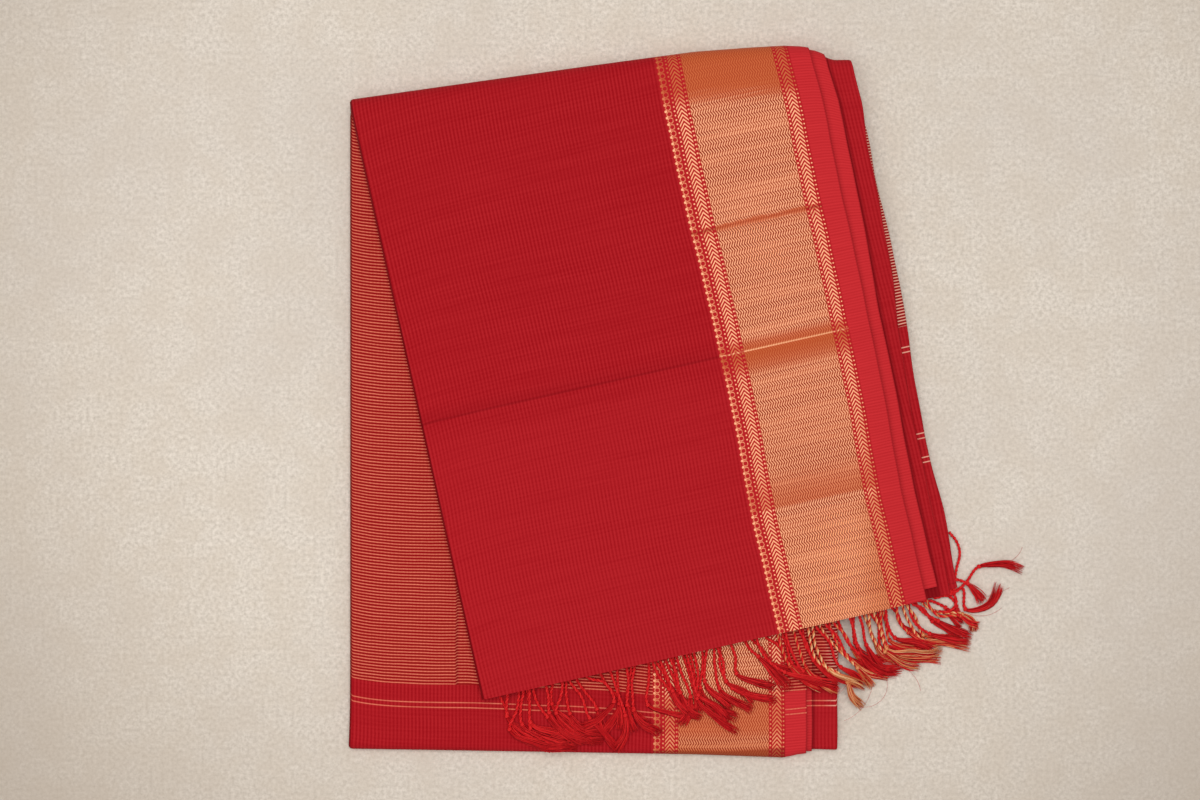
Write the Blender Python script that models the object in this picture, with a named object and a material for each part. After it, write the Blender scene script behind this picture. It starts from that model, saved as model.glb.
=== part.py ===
"""Folded silk sari with a woven border and a knotted fringe at its decorated end.

One cloth, folded in half and in half again across its width, then doubled along its
length and turned over once more on a slanted line, so that the front lies askew on the back.
Lengths below are in millimetres; +X is right, +Y is away along the back, +Z is up.
"""
import math

import bpy
import numpy as np

# Layers
PLY = 1.0
GAP = 0.3
PITCH = PLY + GAP
STRIP = 4 * PITCH - GAP
SLAB = 2 * STRIP + GAP
STACK = 2 * SLAB + GAP
TURN_Z = SLAB + GAP / 2

# Plan of the folds: across is the distance from the left folds, run the distance up the slab
TURN_SLANT = math.radians(6.29)
TURN_RUN = 394.1
TURN_NEUTRAL = 5.2
FRONT_HEM = 781.9
UNDER_HEM = 775.9
BACK_EDGE = 303.1
LEFT_CENTRE = 2.45
OUTER_TURN = 1.5 * PITCH
INNER_TURN = 0.5 * PITCH

# Stations shared by every layer, so that stacked layers keep their distance
ACROSS = (70.0, 150.0, 215.0, 240.0, 255.0, 270.0, 282.0)
ACROSS_LAST = 290.0
ACROSS_MID = 300.0
ACROSS_FIELD = (0.0,) + ACROSS + (ACROSS_LAST, ACROSS_MID, 318.0)

# Widths of the layers along each strip
FRONT_WIDTHS = (
    # run, first selvedge, last selvedge, middle fold
    (0.0, 284.0, 287.5, 303.0),
    (390.0, 285.0, 292.5, 311.0),
    (450.0, 289.0, 297.0, 311.8),
    (531.0, 287.6, 295.8, 308.2),
    (594.0, 286.7, 295.1, 305.8),
    (688.0, 283.6, 291.8, 299.1),
    (782.0, 284.0, 293.0, 296.6),
)
BACK_WIDTHS = (
    # run, first selvedge, last selvedge, middle fold
    (0.0, 284.0, 287.5, 303.0),
    (390.0, 285.0, 289.0, 310.0),
    (450.0, 286.0, 289.5, 311.0),
    (531.0, 285.0, 288.0, 310.5),
    (594.0, 284.5, 287.5, 310.2),
    (688.0, 284.0, 287.5, 306.0),
    (782.0, 284.0, 287.5, 301.5),
)

# Rows along the slab: run at the left folds and run at 300 mm across
BACK_ROWS = (
    # left, right
    (16.0, 14.0),
    (130.0, 140.0),
    (250.0, 272.0),
    (345.0, 374.0),
)
FRONT_ROWS = (
    # left, right
    (424.0, 456.0),
    (470.0, 488.0),
    (523.9, 523.9),
    (531.9, 531.9),
    (539.9, 539.9),
    (570.0, 570.0),
    (601.4, 601.4),
    (608.4, 608.4),
    (615.4, 615.4),
    (645.0, 645.0),
    (675.0, 675.0),
    (705.9, 705.9),
    (735.0, 735.0),
    (760.0, 760.0),
)
TURN_STEPS = 4
BOTTOM_STEPS = 4

# The doubling fold at the lower end is not quite straight
BOTTOM_LINE = (
    # across, run of the fold's middle
    (0.0, 5.05),
    (215.0, 1.5),
    (270.0, -0.5),
    (282.0, 2.1),
    (290.0, 2.2),
    (303.0, 1.75),
)

# The turned end bows upward along its length and dips beyond the selvedges
TURN_BOW = (
    # across, rise
    (0.0, 0.0),
    (70.0, 2.2),
    (150.0, 4.6),
    (215.0, 6.2),
    (270.0, 5.2),
    (282.0, 3.2),
    (290.0, 0.8),
    (300.0, -5.6),
    (318.0, -7.6),
)
BOW_REACH = 150.0

# Packing creases across the front: distance from the hem, depth, half width
CREASES = (
    # run, depth at the left, depth at the right, half width
    (531.9, 0.1, 0.8, 8.0),
    (608.4, 1.0, 1.3, 7.0),
    (705.9, 0.1, 0.6, 12.0),
)

# The part of the front that overhangs the back comes down to the floor
SAG_START = 9.0
SAG_LENGTH = 60.0
SAG_DEPTH = 10.35
SAG_CLEAR = 14.0
SAG_FULL = 90.0

# Fringe
BACKING_GAP = 0.3
BACKING_LENGTH = 3.2
PER_LAYER = 13
ROOT_HALF = 0.85
ROOT_CLEAR = 1.3
FIRST_ROOT = 7.0
LAST_ROOT = 296.5
LAST_LOW_ROOT = 280.0
TASSEL_FORM = (
    # share of the length, half width, half height
    (0.08, 0.85, 0.60),
    (0.20, 0.95, 0.85),
    (0.38, 0.95, 0.90),
    (0.43, 1.70, 1.30),
    (0.49, 1.70, 1.30),
    (0.55, 1.05, 0.90),
    (0.78, 1.90, 1.05),
    (1.00, 1.50, 0.60),
)
TASSEL_ZONES = (
    # across, lean to the right in degrees, bend, length
    (0.0, -14.0, 98.0, 40.0),
    (30.0, -10.0, 92.0, 45.0),
    (60.0, -6.0, 84.0, 50.0),
    (120.0, 4.0, 70.0, 53.0),
    (170.0, 10.0, 62.0, 54.0),
    (215.0, 16.0, 55.0, 55.0),
    (255.0, 22.0, 48.0, 55.0),
    (279.0, 34.0, 40.0, 53.0),
    (297.0, 82.0, 14.0, 45.0),
)


def smooth(value):
    """Ease from 0 to 1 as the value does."""
    value = np.clip(value, 0.0, 1.0)
    return value * value * (3.0 - 2.0 * value)


def column(table, index, at):
    """Interpolate one column of a table along its first column."""
    return np.interp(at, [row[0] for row in table], [row[index] for row in table])


def row_line(row, across):
    """Run of a slanted row at a distance across."""
    return row[0] + (row[1] - row[0]) * across / 300.0


def turned(across, run, level):
    """Turn the slab over on its slanted line."""
    along_axis = across * math.cos(TURN_SLANT) + (run - TURN_RUN) * math.sin(TURN_SLANT)
    beyond = -across * math.sin(TURN_SLANT) + (run - TURN_RUN) * math.cos(TURN_SLANT)
    arc = math.pi * TURN_NEUTRAL
    if beyond <= 0.0:
        offset, height = beyond, level
    elif beyond < arc:
        angle = beyond / TURN_NEUTRAL
        offset = (TURN_Z - level) * math.sin(angle)
        height = TURN_Z - (TURN_Z - level) * math.cos(angle)
    else:
        offset, height = arc - beyond, 2 * TURN_Z - level
    x = along_axis * math.cos(TURN_SLANT) - offset * math.sin(TURN_SLANT)
    y = TURN_RUN + along_axis * math.sin(TURN_SLANT) + offset * math.cos(TURN_SLANT)
    return x, y, height


def fall_at(across, run):
    """Depth by which the front sinks at one place of the slab."""
    x, y, height = turned(across, run, 0.0)
    past_turn = run - TURN_RUN - across * math.tan(TURN_SLANT)
    held = smooth((past_turn - SAG_CLEAR) / (SAG_FULL - SAG_CLEAR))
    return SAG_DEPTH * held * smooth((x - BACK_EDGE - SAG_START) / SAG_LENGTH)


def fall(across, run):
    """Depth of the sinking, straight between the shared stations."""
    return float(np.interp(across, ACROSS_FIELD, [fall_at(a, run) for a in ACROSS_FIELD]))


def crease(across, run):
    """Depth of the packing creases at one place of the front."""
    depth = 0.0
    for middle, left, right, half in CREASES:
        here = left + (right - left) * across / 300.0
        depth += here * max(0.0, 1.0 - abs(run - middle) / half)
    return depth


def bow(across, run):
    """Rise of the turned end at one place of the slab."""
    middle = TURN_RUN + across * math.tan(TURN_SLANT) + math.pi * TURN_NEUTRAL / 2
    return float(column(TURN_BOW, 1, across) * smooth(1.0 - (abs(run - middle) - 10.0) / BOW_REACH))


def placed(across, run, level):
    """Place a point of the slab in the room."""
    x, y, z = turned(across, run, level)
    if run > TURN_RUN + across * math.tan(TURN_SLANT) and z > TURN_Z:
        z -= fall(across, run)
        z -= crease(across, run) * (z - TURN_Z) / (STACK - TURN_Z) * (1.0 - fall(across, run) / SAG_DEPTH)
    y += bow(across, run)
    return x, y, z


def section(widths, stations):
    """Closed outline of the cloth folded in four, with the shared stations in each layer.

    Returns the two faces as lists of (across, level) from one selvedge to the other.
    """
    first, last, middle = widths
    levels = [PLY / 2 + PITCH * i for i in range(4)]
    mid_level = (levels[1] + levels[2]) / 2
    fold_level = (levels[0] + levels[1]) / 2
    right_centre = middle - PLY / 2 - INNER_TURN
    line = [(first, levels[3], -1.0, 0.0)]
    line += [(a, levels[3], -1.0, 0.0) for a in reversed(stations[0])]
    for step in range(5):
        angle = math.radians(90 + 45 * step)
        line.append((LEFT_CENTRE + OUTER_TURN * math.cos(angle), mid_level + OUTER_TURN * math.sin(angle),
                     -math.sin(angle), math.cos(angle)))
    line += [(a, levels[0], 1.0, 0.0) for a in stations[1]]
    for step in range(4):
        angle = math.radians(-90 + 60 * step)
        line.append((right_centre + INNER_TURN * math.cos(angle), fold_level + INNER_TURN * math.sin(angle),
                     -math.sin(angle), math.cos(angle)))
    line += [(a, levels[1], -1.0, 0.0) for a in reversed(stations[2])]
    for step in range(4):
        angle = math.radians(270 - 60 * step)
        line.append((LEFT_CENTRE + INNER_TURN * math.cos(angle), mid_level + INNER_TURN * math.sin(angle),
                     math.sin(angle), -math.cos(angle)))
    line += [(a, levels[2], 1.0, 0.0) for a in stations[3]]
    line.append((last, levels[2], 1.0, 0.0))
    left_face = []
    right_face = []
    for across, level, step_across, step_level in line:
        left_face.append((across - step_level * PLY / 2, level + step_across * PLY / 2))
        right_face.append((across + step_level * PLY / 2, level - step_across * PLY / 2))
    return left_face, right_face


def cloth_stations(widths):
    """Shared stations of the four layers of the cloth."""
    first, last, middle = widths
    near = min(ACROSS_LAST, last - 1.2)
    far = min(ACROSS_MID, middle - PLY / 2 - INNER_TURN - 1.0)
    return (ACROSS,
            ACROSS + (ACROSS_LAST, far),
            ACROSS + (ACROSS_LAST, far),
            ACROSS + (near,))


def widths_at(table, run):
    """Widths of the layers at one run."""
    return tuple(float(column(table, i, run)) for i in (1, 2, 3))


def lofted(rows):
    """Skin rows of closed outlines into one solid; returns its vertices and faces."""
    points = []
    flats = []
    for world, flat in rows:
        points.extend(world)
        flats.extend(flat)
    ring = len(rows[0][0])
    half = ring // 2
    faces = []

    def quad(a, b, c, d):
        """Split a quad on the diagonal that runs the same way in every layer."""
        corners = sorted((a, c), key=lambda i: flats[i][0] + flats[i][1])
        others = sorted((b, d), key=lambda i: flats[i][0] + flats[i][1])
        spread = abs(sum(flats[corners[1]]) - sum(flats[corners[0]]))
        other = abs(sum(flats[others[1]]) - sum(flats[others[0]]))
        if spread >= other:
            faces.append((a, b, c))
            faces.append((a, c, d))
        else:
            faces.append((a, b, d))
            faces.append((b, c, d))

    for j in range(len(rows) - 1):
        for i in range(ring):
            k = (i + 1) % ring
            quad(j * ring + i, j * ring + k, (j + 1) * ring + k, (j + 1) * ring + i)
    last = (len(rows) - 1) * ring
    for i in range(half - 1):
        quad(i, ring - 1 - i, ring - 2 - i, i + 1)
        quad(last + i, last + i + 1, last + ring - 2 - i, last + ring - 1 - i)
    return points, faces


def slab_row(widths, stations, place):
    """One closed outline of the section, placed in the room."""
    left_face, right_face = section(widths, stations)
    ring = left_face + right_face[::-1]
    world = []
    flat = []
    for across, level in ring:
        run, slab_level = place(across, level)
        world.append(placed(across, run, slab_level))
        flat.append((across, run))
    return world, flat


def cloth_rows():
    """Rows of the whole cloth, from the fringed end to the plain one."""
    lines = [lambda a, r=r: row_line(r, a) for r in BACK_ROWS]
    for step in range(TURN_STEPS + 1):
        reach = math.pi * TURN_NEUTRAL * step / TURN_STEPS / math.cos(TURN_SLANT)
        lines.append(lambda a, reach=reach: TURN_RUN + a * math.tan(TURN_SLANT) + reach)
    lines += [lambda a, r=r: row_line(r, a) for r in FRONT_ROWS]
    rows = []
    upper = lines + [lambda a: UNDER_HEM]
    for line in reversed(upper):
        widths = widths_at(BACK_WIDTHS, line(150.0))
        rows.append(slab_row(widths, cloth_stations(widths),
                             lambda a, h, line=line: (line(a), STRIP + GAP + h)))
    widths = widths_at(BACK_WIDTHS, 0.0)
    for step in range(BOTTOM_STEPS + 1):
        angle = math.pi * step / BOTTOM_STEPS

        def bottom(a, h, angle=angle):
            reach = GAP / 2 + h
            middle = float(column(BOTTOM_LINE, 1, a))
            return middle - reach * math.sin(angle), STRIP + GAP / 2 + reach * math.cos(angle)

        rows.append(slab_row(widths, cloth_stations(widths), bottom))
    lower = lines + [lambda a: UNDER_HEM, lambda a: FRONT_HEM]
    for line in lower:
        widths = widths_at(FRONT_WIDTHS, line(150.0))
        rows.append(slab_row(widths, cloth_stations(widths),
                             lambda a, h, line=line: (line(a), STRIP - h)))
    return rows


def support(x, y):
    """Height of what lies below a tassel."""
    return SLAB * (1.0 - smooth((x - BACK_EDGE - 3.0) / 24.0))


def tassel_course(across, level, index, rank):
    """Middle line of one tassel in the room."""
    lean, bend, length = (float(column(TASSEL_ZONES, i, across)) for i in (1, 2, 3))
    lean += 3.5 * math.sin(across / 21.0 + 0.4) + 1.5 * math.sin(across / 11.0 + 2.0)
    bend += 4.0 * math.sin(across / 17.0 + 3.0)
    length *= 1.0 + 0.06 * math.sin(index * 2.4)
    start = np.array(placed(across, UNDER_HEM + BACKING_GAP + BACKING_LENGTH, level))
    ahead = np.array(placed(across, UNDER_HEM + BACKING_GAP + BACKING_LENGTH + 1.0, level))
    down = math.atan2(ahead[1] - start[1], ahead[0] - start[0])
    points = []
    spot = start.copy()
    done = 0.0
    for share, half_width, half_height in TASSEL_FORM:
        step = length * share - done
        heading = down + math.radians(lean * float(smooth((share - 0.07) * 4.0)) + bend * max(0.0, share - 0.3))
        spot = spot + step * np.array([math.cos(heading), math.sin(heading), 0.0])
        done = length * share
        rest = support(spot[0], spot[1]) + half_height + 0.05 + (0.3 if spot[0] < BACK_EDGE + 27.0 else 0.0)
        rest = min(rest + rank * 4.0, start[2] + 2.0 * share)
        settled = float(smooth((share - 0.06) / 0.30))
        spot[2] = start[2] + (rest - start[2]) * settled + (ahead[2] - start[2]) * min(done, 4.0) * (1 - settled)
        points.append((spot.copy(), heading, half_width, half_height))
    return points


def fringe_mesh():
    """Backing strip with its tassels drawn out of its end, as one closed skin."""
    order = (3, 0, 2, 1)
    roots = [[] for _ in range(4)]
    count = 4 * PER_LAYER
    for index in range(count):
        across = FIRST_ROOT + (LAST_ROOT - FIRST_ROOT) * index / (count - 1)
        for station in ACROSS + (ACROSS_LAST,):
            if abs(across - station) < ROOT_CLEAR:
                across = station + math.copysign(ROOT_CLEAR, across - station)
        layer = order[index % 4] if across < LAST_LOW_ROOT else index % 2
        roots[layer].append((across, index))
    widths = widths_at(BACK_WIDTHS, UNDER_HEM)
    extra = {3: (), 0: (ACROSS_LAST,), 1: (ACROSS_LAST,), 2: ()}
    stations = []
    for layer in (3, 0, 1, 2):
        spots = [s for a, _ in roots[layer] for s in (a - ROOT_HALF, a + ROOT_HALF)]
        stations.append(tuple(sorted(spots + list(ACROSS + extra[layer]))))
    rows = []
    for run in (UNDER_HEM + BACKING_GAP, UNDER_HEM + BACKING_GAP + BACKING_LENGTH):
        rows.append(slab_row(widths, stations, lambda a, h, run=run: (run, STRIP + GAP + h)))
    ring = len(rows[0][0])
    half = ring // 2
    points = list(rows[0][0]) + list(rows[1][0])
    flats = list(rows[0][1]) + list(rows[1][1])
    faces = []
    for i in range(ring):
        k = (i + 1) % ring
        faces.append((i, ring + i, ring + k))
        faces.append((i, ring + k, k))
    for i in range(half - 1):
        faces.append((i, i + 1, ring - 2 - i))
        faces.append((i, ring - 2 - i, ring - 1 - i))
    levels = [PLY / 2 + PITCH * i for i in range(4)]
    left_face, right_face = section(widths, stations)
    wanted = {}
    for layer in range(4):
        for across, index in roots[layer]:
            wanted[(layer, round(across, 3))] = index
    for i in range(half - 1):
        ends = [left_face[i], left_face[i + 1], right_face[i + 1], right_face[i]]
        middle = sum(e[0] for e in ends) / 4
        height = sum(e[1] for e in ends) / 4
        layer = min(range(4), key=lambda n: abs(levels[n] - height))
        index = wanted.get((layer, round(middle, 3)))
        corner = [ring + i, ring + i + 1, ring + ring - 2 - i, ring + ring - 1 - i]
        if index is None or abs(levels[layer] - height) > 0.05:
            faces.append((corner[0], corner[2], corner[1]))
            faces.append((corner[0], corner[3], corner[2]))
            continue
        course = tassel_course(middle, STRIP + GAP + levels[layer], index, 0 if layer in (3, 2) else 1)
        loop = [corner[1], corner[0], corner[3], corner[2]]
        centre_z = sum(points[c][2] for c in corner) / 4
        signs = [(1 if flats[c][0] > middle else -1, 1 if points[c][2] > centre_z else -1) for c in loop]
        for spot, heading, half_width, half_height in course:
            side = np.array([-math.sin(heading), math.cos(heading), 0.0])
            base = len(points)
            for across_sign, up_sign in signs:
                corner_spot = spot + side * half_width * across_sign
                corner_spot[2] += up_sign * half_height
                points.append(tuple(corner_spot))
            new = [base, base + 1, base + 2, base + 3]
            for n in range(4):
                m = (n + 1) % 4
                faces.append((loop[n], loop[m], new[m]))
                faces.append((loop[n], new[m], new[n]))
            loop = new
        faces.append((loop[0], loop[1], loop[2]))
        faces.append((loop[0], loop[2], loop[3]))
    return points, faces


def surface(name, colour, roughness):
    """Cloth surface of one colour."""
    made = bpy.data.materials.new(name)
    made.use_nodes = True
    shader = made.node_tree.nodes["Principled BSDF"]
    shader.inputs["Base Color"].default_value = colour
    shader.inputs["Roughness"].default_value = roughness
    return made


def build_object(name, points, faces, shift, material):
    """Make one mesh object, in metres, with outward faces."""
    corners = np.array(points, float)
    triangles = np.array(faces)
    a, b, c = (corners[triangles[:, i]] for i in range(3))
    if np.einsum("ij,ij->i", a, np.cross(b, c)).sum() < 0.0:
        triangles = triangles[:, ::-1]
    mesh = bpy.data.meshes.new(name)
    mesh.from_pydata(((corners - shift) / 1000.0).tolist(), [], triangles.tolist())
    mesh.materials.append(material)
    mesh.update()
    made = bpy.data.objects.new(name, mesh)
    bpy.context.collection.objects.link(made)
    return made


def main():
    for old in list(bpy.data.objects):
        bpy.data.objects.remove(old)
    silk = surface("sari_silk", (0.36, 0.010, 0.016, 1.0), 0.55)
    cord = surface("fringe_silk", (0.40, 0.022, 0.020, 1.0), 0.6)
    cloth_points, cloth_faces = lofted(cloth_rows())
    fringe_points, fringe_faces = fringe_mesh()
    everything = np.array(cloth_points + fringe_points, float)
    low = everything.min(axis=0)
    high = everything.max(axis=0)
    shift = np.array([(low[0] + high[0]) / 2, (low[1] + high[1]) / 2, low[2]])
    build_object("sari_cloth", cloth_points, cloth_faces, shift, silk)
    build_object("pallu_fringe", fringe_points, fringe_faces, shift, cord)


main()
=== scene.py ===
"""Looks of the folded silk sari: its cloth with the woven border and stripes, and its knotted fringe."""

import math
from functools import reduce

import bpy
import numpy as np
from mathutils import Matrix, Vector


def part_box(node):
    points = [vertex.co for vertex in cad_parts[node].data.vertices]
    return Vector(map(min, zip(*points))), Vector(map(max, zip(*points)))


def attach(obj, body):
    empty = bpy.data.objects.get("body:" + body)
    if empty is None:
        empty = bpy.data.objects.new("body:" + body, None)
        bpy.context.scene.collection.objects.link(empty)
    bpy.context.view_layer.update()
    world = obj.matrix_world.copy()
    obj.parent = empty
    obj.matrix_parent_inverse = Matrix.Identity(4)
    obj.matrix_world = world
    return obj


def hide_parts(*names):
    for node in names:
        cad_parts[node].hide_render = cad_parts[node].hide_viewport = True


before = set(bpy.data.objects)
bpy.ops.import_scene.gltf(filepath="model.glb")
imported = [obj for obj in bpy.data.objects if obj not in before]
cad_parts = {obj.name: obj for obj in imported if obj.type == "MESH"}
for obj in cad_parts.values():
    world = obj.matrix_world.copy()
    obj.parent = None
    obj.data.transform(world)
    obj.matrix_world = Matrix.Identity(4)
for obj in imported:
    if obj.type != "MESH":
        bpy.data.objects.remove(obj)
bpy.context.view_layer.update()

# Sizes in millimetres, as in the solids. Across runs from the left fold, run from the lower fold upwards
# and over the turn, and level through one strip of four layers or a slab of two strips.
PLY = 0.82  # thickness shown
STATION_PLY = 1.0  # thickness in the solids
GAP = 0.3
PITCH = STATION_PLY + GAP
STRIP = 4 * PITCH - GAP
SLAB = 2 * STRIP + GAP
STACK = 2 * SLAB + GAP
TURN_Z = SLAB + GAP / 2
TURN_SLANT = math.radians(6.29)
SLOPE = math.tan(TURN_SLANT)
TURN_RUN = 394.1
TURN_NEUTRAL = 5.2
TURN_ARC = math.pi * TURN_NEUTRAL / math.cos(TURN_SLANT)
FRONT_HEM = 781.9
UNDER_HEM = 775.9
LAST_SHORT = 6.5  # how far the second selvedge ends before the hem
FOLD_RUN = 5.0  # run of the lower fold's middle
BACK_EDGE = 303.1
LEFT_CENTRE = 2.45
OUTER_TURN = 1.5 * PITCH
INNER_TURN = 0.5 * PITCH
OVER_MIDDLE = 1.5 * PITCH + STATION_PLY / 2  # level between the middle fold's layers and the selvedges'
OVER_LAST = 2.5 * PITCH + STATION_PLY / 2  # level between the two selvedges' layers
SHOULDER_DROP, SHOULDER_REACH = 1.5, 24.0  # the front beside the turn
LOWER_DROP, LOWER_REACH = 0.7, 11.0  # the back beside the lower fold
SAG_START, SAG_LENGTH, SAG_DEPTH, SAG_CLEAR, SAG_FULL = 9.0, 60.0, 10.35, 14.0, 90.0
BOW_REACH = 150.0  # how far the turn's bow is felt along the cloth
CORNER_FLARE, FLARE_UP, FLARE_ACROSS = 1.3, 14.0, 22.0  # the lower left corner
INNER_SKEW = 7.0
SELVEDGE_RISE, RISE_FROM, RISE_LENGTH = 1.9, 225.0, 55.0
BORDER_REACH = 98.0  # the part of the cloth that is widened or narrowed with the border

FRONT_WIDTHS = (
    # run of the back or the front from the lower fold, then across of both selvedges and the middle fold
    (0.0, 284.0, 287.5, 303.0),
    (390.0, 284.0, 292.5, 311.0),
    (450.0, 286.5, 297.0, 311.7),
    (531.0, 285.3, 295.5, 308.2),
    (590.0, 285.2, 292.8, 305.0),
    (650.0, 284.1, 291.9, 300.2),
    (712.0, 282.0, 290.2, 298.2),
    (752.0, 282.2, 290.6, 299.4),
    (782.0, 282.8, 291.1, 299.0),
)
BACK_WIDTHS = (
    # the same
    (0.0, 284.0, 287.5, 303.0),
    (390.0, 285.0, 289.0, 310.0),
    (450.0, 286.0, 289.5, 311.0),
    (531.0, 285.0, 288.0, 310.3),
    (586.0, 284.6, 287.6, 309.5),
    (610.0, 284.4, 287.5, 307.9),
    (657.0, 284.2, 287.5, 306.0),
    (681.0, 284.0, 287.5, 304.9),
    (728.0, 284.0, 287.5, 305.6),
    (752.0, 284.0, 287.5, 305.0),
    (782.0, 284.0, 287.5, 303.8),
)
BOTTOM_LINE = (
    # across, run of the fold's middle
    (0.0, 5.05), (215.0, 1.5), (270.0, -0.5), (282.0, 2.1), (290.0, 2.2), (303.0, 1.75),
)
SKEW = (
    # across, how far the weft lies below the straight line near the lower fold
    (74.0, 0.0), (98.0, 0.7), (116.0, 1.6), (133.0, 1.9), (155.0, 3.1),
    (168.0, 4.0), (189.0, 6.2), (235.0, 6.2), (272.0, 4.2), (286.0, 2.8),
)
TURN_BOW = (
    # across, rise
    (0.0, 0.0), (70.0, 2.2), (150.0, 4.6), (215.0, 6.2), (250.0, 4.9),
    (270.0, 3.7), (282.0, 1.9), (290.0, -0.4), (300.0, -5.8), (318.0, -7.6),
)
CREASES = (
    # run, height at the left, height at the right, reach above, reach below
    (531.6, 0.0, 0.5, 4.0, 3.0),
    (608.0, 0.5, 1.7, 8.0, 15.0),
    (707.0, 0.0, -0.8, 16.0, 3.5),
)

# Where the patterns lie: edge is the distance from the nearer selvedge, along that from the fringed end
BAND = 13.3
BORDER = 95.6
FIELD = (23.5, 79.9)
STRIPES_FROM, STRIPES_TO = 163.0, 720.1
THIN_LINES = (731.2, 734.3, 150.0, 146.9, 92.4, 95.5, 77.4, 80.5)
STRIPE_PITCH = 1.92
STRIPE_FOLD = 217.4  # edge of the back's lengthwise crease
BAND_PITCH = 1.75
RIB_PITCH = 2.28
WEFT_PITCH = 2.67
MOTIF_PITCH = 2.67
CREASE_WAYS = (1311.8, 1388.2, 1487.2)
TURN_WAY = 1190.7
EASE, EASE_REACH, EASE_BOW = 0.66, 19.0, 6.13
FRONT_WIDTH = 285.0
STAR_PITCH, STAR_ROW, STAR_RADIUS = 3.93, 92.75, 1.55
FIELD_PITCH = 1.6
FIELD_SWING = 1.5
METAL_SHINE = 0.50


def smooth(value):
    """Ease from 0 to 1 as the value does."""
    value = np.clip(value, 0.0, 1.0)
    return value * value * (3.0 - 2.0 * value)


def column(rows, index, at):
    """Interpolate one column of a table along its first column."""
    return np.interp(at, [r[0] for r in rows], [r[index] for r in rows])


def turned(across, run, level):
    """Turn the slab over on its slanted line."""
    cos, sin = math.cos(TURN_SLANT), math.sin(TURN_SLANT)
    along_axis = across * cos + (run - TURN_RUN) * sin
    beyond = -across * sin + (run - TURN_RUN) * cos
    arc = math.pi * TURN_NEUTRAL
    angle = np.clip(beyond / TURN_NEUTRAL, 0.0, math.pi)
    offset = np.where(beyond < arc, (TURN_Z - level) * np.sin(angle), arc - beyond)
    offset = np.where(beyond <= 0, beyond, offset)
    height = TURN_Z - (TURN_Z - level) * np.cos(angle)
    return along_axis * cos - offset * sin, TURN_RUN + along_axis * sin + offset * cos, height


def fall(across, run):
    """Depth by which the front sinks past the back's edge."""
    x = turned(across, run, np.zeros_like(across))[0]
    held = smooth((run - TURN_RUN - across * SLOPE - SAG_CLEAR) / (SAG_FULL - SAG_CLEAR))
    return SAG_DEPTH * held * smooth((x - BACK_EDGE - SAG_START) / SAG_LENGTH)


def ridge(distance, above, below):
    """A soft ridge with its own reach on each side."""
    reach = np.where(distance < 0, above, below)
    away = np.clip(np.abs(distance) / reach, 0.0, 1.0)
    return (1.0 - away) ** 2 * np.where(away < 1, 1, 0) * (1.0 + 0.5 * away)


def relief(across, run):
    """Height of the creases and soft unevenness of the front."""
    height = np.zeros_like(across)
    share = np.clip(across / 290.0, 0.0, 1.0)
    for middle, left, right, above, below in CREASES:
        wander = 0.35 * np.sin(across / 27.0 + middle)
        here = left + (right - left) * share ** 1.5
        height += here * ridge(run - middle - wander, above, below)
    height += 0.22 * np.sin(across / 37.0 + run / 71.0) * np.sin(run / 53.0 + 1.3)
    height += 0.10 * np.sin(across / 17.0 - run / 43.0 + 0.7)
    height += 0.05 * np.sin(run / 9.0 + across / 60.0) * smooth((across - 180.0) / 20.0)
    return height


def back_relief(across, run):
    """Height of the soft lengthwise creases of the back."""
    height = -0.35 * np.exp(-((across - 67.0) / 3.0) ** 2) - 0.22 * np.exp(-((across - 16.5) / 2.5) ** 2)
    height += 0.14 * np.sin(run / 47.0 + across / 29.0)
    return height


def placed(across, run, level):
    """Place points of the slab in the room."""
    x, y, z = turned(across, run, level)
    start = TURN_RUN + across * SLOPE
    after = run - TURN_RUN - TURN_ARC - across * SLOPE
    past = run > start
    sink = fall(across, run)
    share = np.clip((z - TURN_Z) / (STACK - TURN_Z), 0.0, 1.0)
    shoulder = np.clip(1.0 - after / SHOULDER_REACH, 0.0, 1.0)
    lift = relief(across, run) * smooth(after / 25.0) * share * (1.0 - 0.8 * sink / SAG_DEPTH)
    lift = lift - SHOULDER_DROP * shoulder ** 2 * share
    z = z + np.where(past & (z > TURN_Z), lift - sink, 0.0)
    before = smooth((start - run) / 25.0) * smooth((run - 12.0) / 20.0)
    lower = LOWER_DROP * np.clip(1.0 - (run - FOLD_RUN) / LOWER_REACH, 0.0, 1.0) ** 2
    depth = np.clip(level / SLAB, 0.0, 1.0) ** 2
    z = z + np.where(past, 0.0, (back_relief(across, run) * before - lower) * depth)
    x = x - CORNER_FLARE * np.exp(-np.maximum(run, 0.0) / FLARE_UP - np.maximum(across, 0.0) / FLARE_ACROSS)
    middle = start + math.pi * TURN_NEUTRAL / 2
    y = y + column(TURN_BOW, 1, across) * smooth(1.0 - (np.abs(run - middle) - 10.0) / BOW_REACH)
    return x, y, z


def eased(across, level):
    """Level of a layer as its weft takes it, drawn to the middle one beside the left fold."""
    return OVER_MIDDLE + (level - OVER_MIDDLE) * (1.0 - EASE * np.exp(-np.maximum(across, 0.0) / EASE_REACH))


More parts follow.
